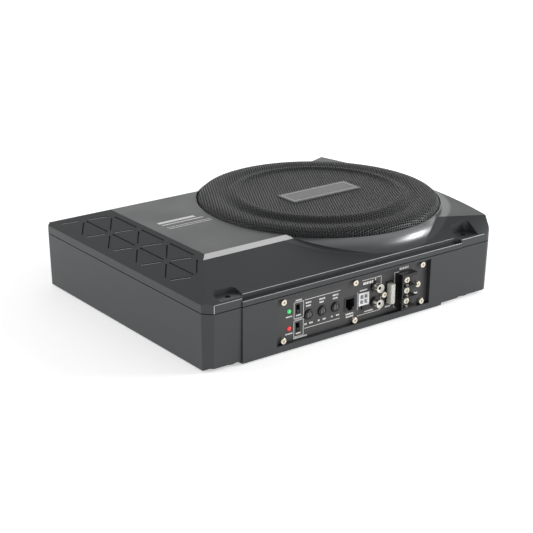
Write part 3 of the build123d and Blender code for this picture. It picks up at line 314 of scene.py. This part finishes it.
grille_low, grille_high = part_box("grille")
centre = np.array([(grille_low[0] + grille_high[0]) / 2, (grille_low[1] + grille_high[1]) / 2])
rim_r = 119.6                # the grille's radius
ridge_rise = 8.8             # the dome's highest ring above its outer edge
crown_z = grille_high[2] / MM - ridge_rise   # height of the dome's outer edge
# the dome's section: distances in from the rim, and rises above the outer edge
dome_in = np.array([0.0, 2.2, 7.0, 16.0, 28.5, 34.5, 38.0, 43.0, 50.0, 70.0, rim_r])
dome_up = np.array([-0.6, 3.2, 5.6, 6.6, 5.3, 8.2, ridge_rise, 7.0, 6.7, 6.7, 6.7])


def dome_z(r):
    """Height in millimetres of the pressed dome at a radius in millimetres."""
    return crown_z + hermite(dome_in, dome_up, np.clip(rim_r - r, 0.0, rim_r))


fine_r = np.linspace(0.0, rim_r, 4000)
fine_s = np.concatenate([[0.0], np.cumsum(np.hypot(np.diff(fine_r), np.diff(dome_z(fine_r))))])
hem_drop = 1.8               # the sheet goes straight down by this at its edge
steep_from = fine_s[-1] - 3.0    # from here out the sheet is thick sideways, not downwards
sheet_reach = fine_s[-1] + hem_drop


def on_dome(x, y, under=0.0):
    """Points of a flat round sheet pressed over the dome: each keeps its direction from the
    middle, and its distance becomes a length along the dome's section. under moves them
    through the sheet's thickness."""
    flat = np.hypot(x, y)
    steep = flat > steep_from
    r = np.interp(flat, fine_s, fine_r) - np.where(steep, under, 0.0)
    z = dome_z(np.interp(flat, fine_s, fine_r)) - np.clip(flat - fine_s[-1], 0.0, hem_drop)
    share = np.where(flat > 0, r / np.maximum(flat, 1e-9), 1.0)
    return np.stack([x * share, y * share, z - np.where(steep, 0.0, under)], -1)


def lathe(name, profile, finish, body, middle, steps=256):
    """The profile (radius, height) carried round the middle: (r cos a, r sin a, z)."""
    r, z = (np.asarray(c, float) * MM for c in zip(*profile))
    angle = np.arange(steps) * 2 * np.pi / steps
    points = np.stack([middle[0] + np.outer(np.cos(angle), r),
                       middle[1] + np.outer(np.sin(angle), r),
                       np.broadcast_to(z, (steps, len(z)))], -1).reshape(-1, 3)
    a, b = np.meshgrid(np.arange(steps), np.arange(len(r) - 1), indexing="ij")
    here, along = a * len(r) + b, ((a + 1) % steps) * len(r) + b
    faces = np.stack([here, along, along + 1, here + 1], -1).reshape(-1, 4)
    return piece(name, points, faces, finish, body)


def perforated(name, pitch, hole_r, from_r, to_r, finish):
    """Sheet of hexagonal cells, each with a round hole: before pressing, cell (i, j) stands at
    (pitch (i + j / 2), pitch j sqrt(3) / 2). A ring of quads runs from its twelve border points
    to the hole, then down the hole's wall."""
    reach = int(to_r / pitch) + 3
    j, i = np.meshgrid(np.arange(-reach * 2, reach * 2), np.arange(-reach * 2, reach * 2))
    x = pitch * (i + (j % 2) / 2.0).ravel()
    y = pitch * (math.sqrt(3) / 2) * j.ravel()
    r = np.hypot(x, y)
    keep = (r >= from_r) & (r < to_r)
    x, y = x[keep], y[keep]
    turn = np.arange(12) * np.pi / 6
    border = np.where(np.arange(12) % 2 == 0, pitch / 2, pitch / math.sqrt(3))
    round_hole = np.full(12, hole_r)
    rings = []
    for radius, drop in ((border, 0.0), (round_hole, 0.0), (round_hole, sheet_thick)):
        px = x[:, None] + radius * np.cos(turn)
        py = y[:, None] + radius * np.sin(turn)
        rings.append(on_dome(px, py, drop))
    points = np.stack(rings, 1).reshape(-1, 3)
    base = np.arange(len(x))[:, None, None] * 36
    step = np.arange(12)[None, None, :]
    level = np.arange(2)[None, :, None] * 12
    here, along = base + level + step, base + level + (step + 1) % 12
    faces = np.stack([here, along, along + 12, here + 12], -1).reshape(-1, 4)
    _, first, back = np.unique(np.round(points, 3), axis=0, return_index=True, return_inverse=True)
    points = points[first] * MM
    points[:, 0] += centre[0]
    points[:, 1] += centre[1]
    return piece(name, points, back.ravel()[faces], finish, "case")


sheet_thick = 0.9
hole_pitch = 2.9
hole_r = 1.06
split_r = 84.0               # the sheet is made as a middle and an outer band
perf_r = sheet_reach - 1.3   # no cell stands further out than this
for name, start, end in (("grille_mesh_inner", -1.0, split_r),
                         ("grille_mesh_outer", split_r, perf_r)):
    sheet = perforated(name, hole_pitch, hole_r, start, end, finishes["mesh_black"])
    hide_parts("grille")
seat_z = grille_low[2] / MM
edge_z = float(dome_z(rim_r))
rim_profile = [(rim_r - 0.02, edge_z - 0.5), (rim_r, edge_z - 0.7), (rim_r, seat_z),
               (rim_r - 1.6, seat_z), (rim_r - 1.6, edge_z - 0.6), (rim_r - 0.8, edge_z - 0.4),
               (rim_r - 0.02, edge_z - 0.5)]
rim = lathe("grille_rim", rim_profile, finishes["mesh_black"], "case", centre)
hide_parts("grille")


# ------------------------------------------------------------------ the case's own sizes
cover_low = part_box("top_cover")[0]
left_x = cover_low[0] / MM
boss_y = cover_low[1] / MM   # the panel's boss is the cover's furthest point forward
boss_left, boss_right = left_x + 36.9, left_x + 293.9
front_y = boss_y + 1.0
plate_z = crown_z + 1.6
plate_rise = 19.7            # rim to plate
rim_z = plate_z - plate_rise
left_run = 43.7              # width of the left-hand slope
front_run = 65.0             # depth of the front slope
bevel_run, bevel_drop = 6.4, 2.6
case_depth = 275.0

# ------------------------------------------------------------------ light grey bevel strip
strip_y, strip_z = front_y + front_run - bevel_run, plate_z - bevel_drop
strip = np.array([[left_x + 37.9, strip_y, strip_z], [left_x + 139.5, strip_y, strip_z],
                  [left_x + 134.0, front_y + front_run, plate_z],
                  [left_x + left_run, front_y + front_run, plate_z]])
u, v = np.meshgrid(np.linspace(0, 1, 41), np.linspace(0, 1, 5), indexing="ij")
flat = ((1 - u)[..., None] * ((1 - v)[..., None] * strip[0] + v[..., None] * strip[3])
        + u[..., None] * ((1 - v)[..., None] * strip[1] + v[..., None] * strip[2])).reshape(-1, 3)
flat += (0.0, -0.03, 0.06)   # just proud of the cover
a, b = np.meshgrid(np.arange(40), np.arange(4), indexing="ij")
corner = (a * 5 + b).ravel()
# A light grey strip along the bevel between the plate and the front slope, lighter than the cover
# round it.
bare = grained("diamond_cut_edge", (0.66, 0.66, 0.66), 0.35, 0.25, 1500.0, 0.000004, 0.08,
               (0.05, 1.0, 1.0))
piece("bevel_strip", flat * MM, np.stack([corner, corner + 5, corner + 6, corner + 1], -1),
      bare.material, "case")


# ------------------------------------------------------------------ painted edge highlights
def edge_line(lines, lift=0.06, width=0.55):
    """Thin flat quads of painted highlight that lie on sharp edges, from (start, end, facing) rows
    in millimetres: each quad is as long as its edge and faces half way between the two walls."""
    start, end, facing = (np.asarray(c, float) for c in zip(*lines))
    facing /= np.linalg.norm(facing, axis=1, keepdims=True)
    along = end - start
    side = np.cross(along, facing)
    side *= width / 2 / np.linalg.norm(side, axis=1, keepdims=True)
    lift = facing * lift
    points = np.stack([start - side, end - side, end + side, start + side], 1) + lift[:, None]
    return points.reshape(-1, 3), np.arange(len(points) * 4).reshape(-1, 4)


# Painted highlight: pale grey lines laid along the cover's sharp edges and beside the slope's
# grooves, standing in for light caught on them.
edge_highlight = grained("polished_edge", (0.5, 0.51, 0.52), 0.3, 0.5, 1800.0, 0.000003, 0.2)
lip_top = rim_z - 2.8        # top of the boss, under the cove
cove_y = front_y + 5.0
corner = 8.0                 # cut of the left-hand corners
rows = [((left_x + corner, front_y, rim_z), (boss_left, front_y, rim_z), (0, -1, 1)),
        ((boss_right + 1, front_y, rim_z), (left_x + 325, front_y, rim_z), (0, -1, 1)),
        ((boss_left, boss_y, lip_top), (boss_right, boss_y, lip_top), (0, -1, 1)),
        ((boss_left + 4, cove_y, rim_z + 1.5), (boss_right - 5, cove_y, rim_z + 1.5), (0, -1, 1)),
        ((left_x + corner, front_y, rim_z), (left_x + corner, front_y, rim_z - 7.4),
         (-0.4, -1, 0))]
slope_length = math.hypot(left_run, plate_rise)
slope = np.array([left_run, 0.0, plate_rise]) / slope_length
slope_up = np.array([-slope[2], 0.0, slope[0]])
foot = np.array([left_x, front_y + case_depth / 2, rim_z])
groove_pitch = 47.4
groove_end = 5.2             # a painted highlight line stops this far short of the lattice's points
groove_side = 0.85           # and runs this far beside the groove's middle


def lattice(row, k):
    """Point k of a row of the grooves' triangle lattice on the left-hand slope."""
    along = -case_depth / 2 + 16.3 + groove_pitch * (k + row / 2)
    return foot + slope * (0.115 + 0.385 * row) * slope_length - np.array([0, along, 0])


# Painted highlight lines beside the grooves that run from each lattice row to the row above.
for row, count in ((0, 5), (1, 4)):
    for k in range(count):
        low, high = lattice(row, k), lattice(row + 1, k)
        way = (high - low) / np.linalg.norm(high - low)
        near = np.cross(way, slope_up) * groove_side
        rows.append((low + way * groove_end + near, high - way * groove_end + near, slope_up))
points, faces = edge_line(rows)
piece("polished_edges", points * MM, faces, edge_highlight.material, "case", smooth=False)


# ------------------------------------------------------------------ printed marks
ink = grained("pale_print", (0.72, 0.72, 0.7), 0.6, 0.0, 2500.0, 0.000002, 0.06).material


def marks(name, bars, level, finish, across="XZ", body="case"):
    """Flat bars (middle u, middle v, width, height) in millimetres at one level, as quads."""
    u, v, w, h = np.asarray(bars, float).T
    side = np.array([[-1, -1], [1, -1], [1, 1], [-1, 1]]) / 2.0
    pu = u[:, None] + w[:, None] * side[:, 0]
    pv = v[:, None] + h[:, None] * side[:, 1]
    flat = np.full_like(pu, level)
    points = np.stack([pu, flat, pv] if across == "XZ" else [pu, pv, flat], -1).reshape(-1, 3)
    faces = np.arange(len(points)).reshape(-1, 4)
    return piece(name, points * MM, faces, finish, body, smooth=False)


def outline(x, z, w, h, line=0.4):
    """Four bars round a rectangle."""
    return [(x, z + h / 2, w + line, line), (x, z - h / 2, w + line, line),
            (x - w / 2, z, line, h), (x + w / 2, z, line, h)]


def tick_row(x, z, length, high, seed):
    """A row of plain upright ticks of uneven widths that fills a length."""
    shape = high / 1.3
    widths = np.random.default_rng(seed).uniform(0.45, 1.15, 80) * shape
    starts = np.cumsum(widths + 0.3 * shape) - widths
    inside = starts + widths < length
    start_x = x - length / 2
    return [(start_x + s + w / 2, z, w, high) for s, w in zip(starts[inside], widths[inside])]


def middle_of(node):
    low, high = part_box(node)
    return (low[0] + high[0]) / 2 / MM, (low[2] + high[2]) / 2 / MM


panel_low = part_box("control_panel")[0]
face_y = panel_low[1] / MM - 0.04    # just proud of the panel
pz = middle_of("control_panel")[1]
switch_low, switch_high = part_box("switch_bodies")
switch_x = (switch_low[0] + switch_high[0]) / 2 / MM
lamp_x, lamp_top = middle_of("power_led")
_, lamp_low = middle_of("protect_led")
jack_x, jack_z = middle_of("remote_jack")
socket_x, socket_z = middle_of("speaker_level_socket")
phono_x, phono_z = middle_of("rca_shells")
fuse_x, fuse_z = middle_of("fuse")
block_x = middle_of("battery_screw")[0]
block_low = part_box("terminal_block")[0]
dial_x = [middle_of(n)[0] for n in ("low_pass_dial", "bass_boost_dial", "input_gain_dial")]
dial_z = middle_of("low_pass_dial")[1]

bars = []
for row in (6.9, -10.3):
    bars += outline(switch_x + 1.0, pz + row - 1.2, 10.6, 15.2, 0.45)
    bars += tick_row(switch_x + 1.0, pz + row + 8.2, 8.0, 1.3, 3)
    bars += tick_row(switch_x + 1.0, pz + row - 6.0, 6.4, 1.2, 4)
bars += tick_row(lamp_x + 0.5, lamp_top - 5.2, 7.6, 1.2, 5)
bars += tick_row(lamp_x + 0.5, lamp_low - 5.2, 8.6, 1.2, 6)
bars += tick_row(switch_x + 3.0, pz - 20.4, 16.0, 1.3, 7)
left_line, right_line = dial_x[0] - 4.5, dial_x[-1] + 5.5
bars += [((left_line + right_line) / 2, dial_z + 14.6, right_line - left_line, 0.45),
         ((left_line + right_line) / 2, dial_z - 12.4, right_line - left_line, 0.45)]
for count, x in enumerate(dial_x):
    bars += tick_row(x, dial_z + 11.4, 7.4, 1.5, 10 + count)
    bars += tick_row(x, dial_z + 8.4, 6.6, 1.5, 20 + count)
    bars += tick_row(x - 3.4, dial_z - 8.6, 3.0, 1.4, 30 + count)
    bars += tick_row(x + 3.0, dial_z - 8.6, 4.6, 1.4, 40 + count)
bars += tick_row(jack_x, jack_z - 9.6, 10.0, 1.5, 50) + tick_row(jack_x, jack_z - 12.2, 9.0, 1.5, 51)
box_left, box_right = jack_x + 9.2, phono_x + 7.4
bars += [((socket_x - 2 + box_right) / 2, pz + 16.6, box_right - socket_x + 2, 0.45),
         ((box_left + box_right) / 2, pz - 16.4, box_right - box_left, 0.45),
         (box_right, pz + 0.1, 0.45, 33.0), (box_left, pz - 2.0, 0.45, 17.0)]
bars += tick_row(socket_x + 5.0, pz + 13.4, 12.5, 2.4, 52)
bars += tick_row(socket_x, socket_z + 8.4, 9.6, 1.3, 53)
bars += tick_row(phono_x + 0.4, pz + 15.0, 1.6, 1.9, 54)
bars += tick_row(socket_x + 7.0, pz - 14.2, 11.0, 1.3, 55)
bars += tick_row(fuse_x - 0.6, fuse_z - 13.6, 7.0, 1.5, 56)
power_left = block_low[0] / MM - 2.0
bars += [(power_left, pz - 1.2, 0.45, 34.0), (power_left + 2.6, pz + 15.8, 5.6, 0.45),
         (power_left + 1.4, pz - 18.2, 3.2, 0.45)]
bars += tick_row(block_x + 0.6, pz + 18.3, 13.0, 2.3, 57)
for row in (9.4, 0.4, -10.0):
    bars += tick_row(block_x + 15.2, pz + row, 6.2, 1.5, 60 + int(row))
marks("panel_print", bars, face_y, ink)

top_level = plate_z + 0.04   # just proud of the plate
plate_x = left_x + 56.5
label_y = front_y + 159.0
marks("cover_bar", [(plate_x + 20.5, label_y, 41.0, 4.6)], top_level, ink, "XY")
rows = tick_row(plate_x + 24.0, label_y - 6.6, 48.0, 2.7, 71)
rows += tick_row(plate_x + 25.5, label_y - 14.6, 50.0, 1.5, 72)
rows += tick_row(plate_x + 25.0, label_y - 18.4, 49.0, 1.5, 73)
marks("cover_print", rows, top_level, ink, "XY")

for node, body, x in zip(("low_pass_dial", "bass_boost_dial", "input_gain_dial"),
                         ("low_pass_knob", "bass_boost_knob", "input_gain_knob"), dial_x):
    slot_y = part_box(node)[0][1] / MM + 0.95
    marks(node + "_pointer", [(x, dial_z, 0.8, 5.4)], slot_y, ink, body=body)

badge_low, badge_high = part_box("badge_plate")
badge_x, badge_y = [(badge_low[i] + badge_high[i]) / 2 / MM for i in (0, 1)]
marks("badge_line", outline(badge_x, badge_y, 78.0, 21.0, 0.5), badge_high[2] / MM + 0.03, ink,
      "XY")


# ------------------------------------------------------------------ floor, light and camera
def floor_sheet(size):
    """A square floor, size by size metres, as a grid of flat quads."""
    line = np.linspace(-size / 2, size / 2, 9)
    gx, gy = np.meshgrid(line, line, indexing="ij")
    a, b = np.meshgrid(np.arange(8), np.arange(8), indexing="ij")
    corner = (a * 9 + b).ravel()
    shape = bpy.data.meshes.new("floor")
    shape.from_pydata(np.stack([gx, gy, np.zeros_like(gx)], -1).reshape(-1, 3).tolist(), [],
                      np.stack([corner, corner + 9, corner + 10, corner + 1], -1).tolist())
    pale = Finish("floor_paint", **{"Roughness": 0.9, "Emission Strength": 0.45})
    pale.colour(pale.colour_between(pale.noise(3.0), (0.9, 0.9, 0.9), (0.93, 0.93, 0.93)))
    pale.feed(pale.shader.inputs["Emission Color"], (1.0, 1.0, 1.0))
    shape.materials.append(pale.material)
    made = bpy.data.objects.new("floor", shape)
    bpy.context.scene.collection.objects.link(made)


floor_sheet(40.0)

world = bpy.data.worlds.new("studio")
bpy.context.scene.world = world
world.use_nodes = True
sky = world.node_tree
sky.nodes.clear()
place = sky.nodes.new("ShaderNodeTexCoord")
split = sky.nodes.new("ShaderNodeSeparateXYZ")
fade = sky.nodes.new("ShaderNodeMapRange")
for key, amount in (("From Min", 0.3), ("From Max", 0.62), ("To Min", 1.15), ("To Max", 0.5)):
    fade.inputs[key].default_value = amount
glow = sky.nodes.new("ShaderNodeBackground")
out = sky.nodes.new("ShaderNodeOutputWorld")
for start, end in ((place.outputs["Generated"], split.inputs[0]), (split.outputs[2], fade.inputs[0]),
                   (fade.outputs[0], glow.inputs["Strength"]), (glow.outputs[0], out.inputs[0])):
    sky.links.new(start, end)


def soft_box(name, place, target, size, power):
    """A square light that faces the target."""
    lamp = bpy.data.lights.new(name, "AREA")
    lamp.shape = "SQUARE"
    lamp.size = size
    lamp.energy = power
    made = bpy.data.objects.new(name, lamp)
    made.location = place
    made.rotation_mode = "QUATERNION"
    made.rotation_quaternion = (Vector(target) - Vector(place)).to_track_quat("-Z", "Y")
    bpy.context.scene.collection.objects.link(made)


soft_box("back_light", (1.3, 1.9, 0.9), (0, 0, 0.05), 1.2, 3)
soft_box("left_light", (-1.9, 1.2, 0.7), (0, 0, 0.05), 1.0, 16)
soft_box("front_light", (1.9, -1.1, 0.85), (0, 0, 0.05), 0.9, 38)

camera = bpy.data.objects.new("camera", bpy.data.cameras.new("camera"))
camera.data.lens, camera.data.sensor_width = 98.93, 36.0
ahead = Vector((0.56983, 0.74611, -0.34440)).normalized()
right = Vector((0.79642, -0.60469, 0.00772))
right = (right - ahead * right.dot(ahead)).normalized()
up = right.cross(ahead)
turn = Matrix((right, up, -ahead)).transposed().to_4x4()
camera.matrix_world = Matrix.Translation((-0.82575, front_y * MM - 0.93014, 0.51481)) @ turn
camera.data.clip_end = 100
bpy.context.scene.collection.objects.link(camera)
bpy.context.scene.camera = camera
